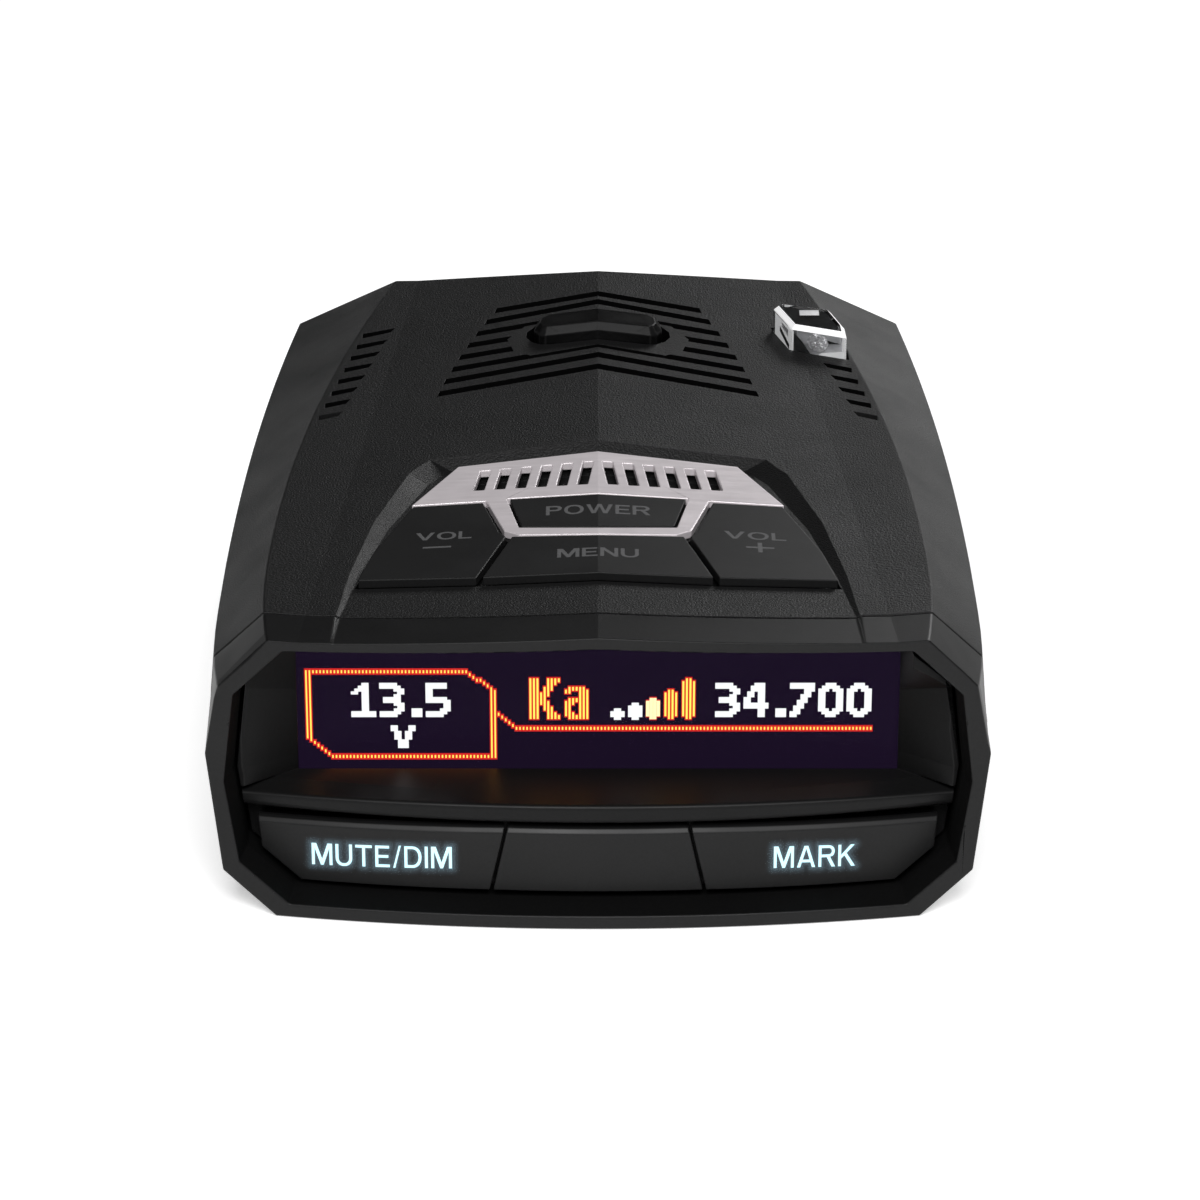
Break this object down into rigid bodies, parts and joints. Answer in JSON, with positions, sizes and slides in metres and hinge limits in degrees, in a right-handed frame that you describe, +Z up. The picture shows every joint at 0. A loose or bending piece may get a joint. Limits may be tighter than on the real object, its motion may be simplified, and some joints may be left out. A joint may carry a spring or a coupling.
{
  "type": "radar detector",
  "caption": "Compact black windscreen radar detector with a bowed front display, roof keys in a silver trim, louvred roof, sprung mount latch and clear rear laser lens.",
  "frame": {"origin": "centre of the bounding box in X and Y, on the flat underside in Z", "axes": "+X to the driver's right, +Y towards the road (the case's length), +Z up (the case's height)"},
  "size_m": [0.0772, 0.1054, 0.0327],
  "materials": {
    "case_plastic": "fine leather-grain moulded plastic, matte black",
    "bezel_plastic": "smooth satin black plastic",
    "shroud_plastic": "smooth satin black plastic",
    "key_plastic": "smooth satin black key caps with grey printed legends",
    "front_key_plastic": "smooth satin black key caps with glowing legends",
    "satin_trim": "satin silver trim",
    "liner_plastic": "plain black moulding",
    "button_plastic": "smooth dark grey plastic",
    "smoked_window": "smoked display filter",
    "display_panel": "dark dot-matrix display panel with lit pixels",
    "circuit_board": "green solder mask",
    "ribbon_film": "amber polyimide ribbon",
    "spring_steel": "bright spring wire",
    "tin_plate": "tin plated steel sheet",
    "die_cast": "die cast, satin",
    "patch_ceramic": "sintered antenna ceramic",
    "infrared_window": "dark infrared filter",
    "clear_lens": "clear moulded polycarbonate",
    "sensor_plastic": "black sensor housing",
    "cone_paper": "dark treated paper",
    "magnet_steel": "coated ferrite magnet",
    "socket_plastic": "black moulded socket",
    "switch_plastic": "black switch body",
    "plunger_plastic": "white plunger",
    "black_steel": "blackened steel"
  },
  "bodies": {
    "case": {"top_cover": "case_plastic", "bottom_cover": "case_plastic", "front_bezel": "bezel_plastic", "display_shroud": "shroud_plastic", "centre_panel": "front_key_plastic", "trim_plate": "satin_trim", "release_spring": "spring_steel", "mount_slot_liner": "liner_plastic", "display_window": "smoked_window", "oled_module": "display_panel", "display_board": "circuit_board", "main_board": "circuit_board", "key_board": "circuit_board", "display_ribbon": "ribbon_film", "key_ribbon": "ribbon_film", "horn_antenna": "die_cast", "rf_shield_can": "tin_plate", "gps_patch": "patch_ceramic", "front_laser_window": "infrared_window", "front_laser_sensor": "sensor_plastic", "rear_laser_lens": "clear_lens", "rear_laser_sensor": "sensor_plastic", "speaker_frame": "tin_plate", "speaker_cone": "cone_paper", "speaker_magnet": "magnet_steel", "power_socket": "socket_plastic", "usb_socket": "tin_plate", "audio_jack": "socket_plastic", "power_switch": "switch_plastic", "menu_switch": "switch_plastic", "volume_down_switch": "switch_plastic", "volume_up_switch": "switch_plastic", "mute_dim_switch": "switch_plastic", "mark_switch": "switch_plastic", "case_screw_1": "black_steel", "case_screw_2": "black_steel", "case_screw_3": "black_steel", "case_screw_4": "black_steel"},
    "power_button": {"power_key": "key_plastic", "power_plunger": "plunger_plastic"},
    "menu_button": {"menu_key": "key_plastic", "menu_plunger": "plunger_plastic"},
    "volume_down_button": {"volume_down_key": "key_plastic", "volume_down_plunger": "plunger_plastic"},
    "volume_up_button": {"volume_up_key": "key_plastic", "volume_up_plunger": "plunger_plastic"},
    "mute_dim_button": {"mute_dim_key": "front_key_plastic", "mute_dim_plunger": "plunger_plastic"},
    "mark_button": {"mark_key": "front_key_plastic", "mark_plunger": "plunger_plastic"},
    "mount_release": {"mount_release_button": "button_plastic"}
  },
  "joints": [
    {"name": "power_press", "type": "slide", "parent": "case", "child": "power_button", "axis": [0, 0, -1], "range_m": [0, 0.0006], "stiffness_N_per_m": 1000, "springref_m": -0.0004},
    {"name": "menu_press", "type": "slide", "parent": "case", "child": "menu_button", "axis": [0, 0, -1], "range_m": [0, 0.0006], "stiffness_N_per_m": 1000, "springref_m": -0.0004},
    {"name": "volume_down_press", "type": "slide", "parent": "case", "child": "volume_down_button", "axis": [0, 0, -1], "range_m": [0, 0.0006], "stiffness_N_per_m": 1000, "springref_m": -0.0004},
    {"name": "volume_up_press", "type": "slide", "parent": "case", "child": "volume_up_button", "axis": [0, 0, -1], "range_m": [0, 0.0006], "stiffness_N_per_m": 1000, "springref_m": -0.0004},
    {"name": "mute_dim_press", "type": "slide", "parent": "case", "child": "mute_dim_button", "axis": [0, 1, 0], "range_m": [0, 0.0006], "stiffness_N_per_m": 1000, "springref_m": -0.0004},
    {"name": "mark_press", "type": "slide", "parent": "case", "child": "mark_button", "axis": [0, 1, 0], "range_m": [0, 0.0006], "stiffness_N_per_m": 1000, "springref_m": -0.0004},
    {"name": "mount_release_press", "type": "slide", "parent": "case", "child": "mount_release", "axis": [0, 0, -1], "range_m": [0, 0.002], "stiffness_N_per_m": 500, "springref_m": -0.001, "deforming": ["release_spring"]}
  ]
}
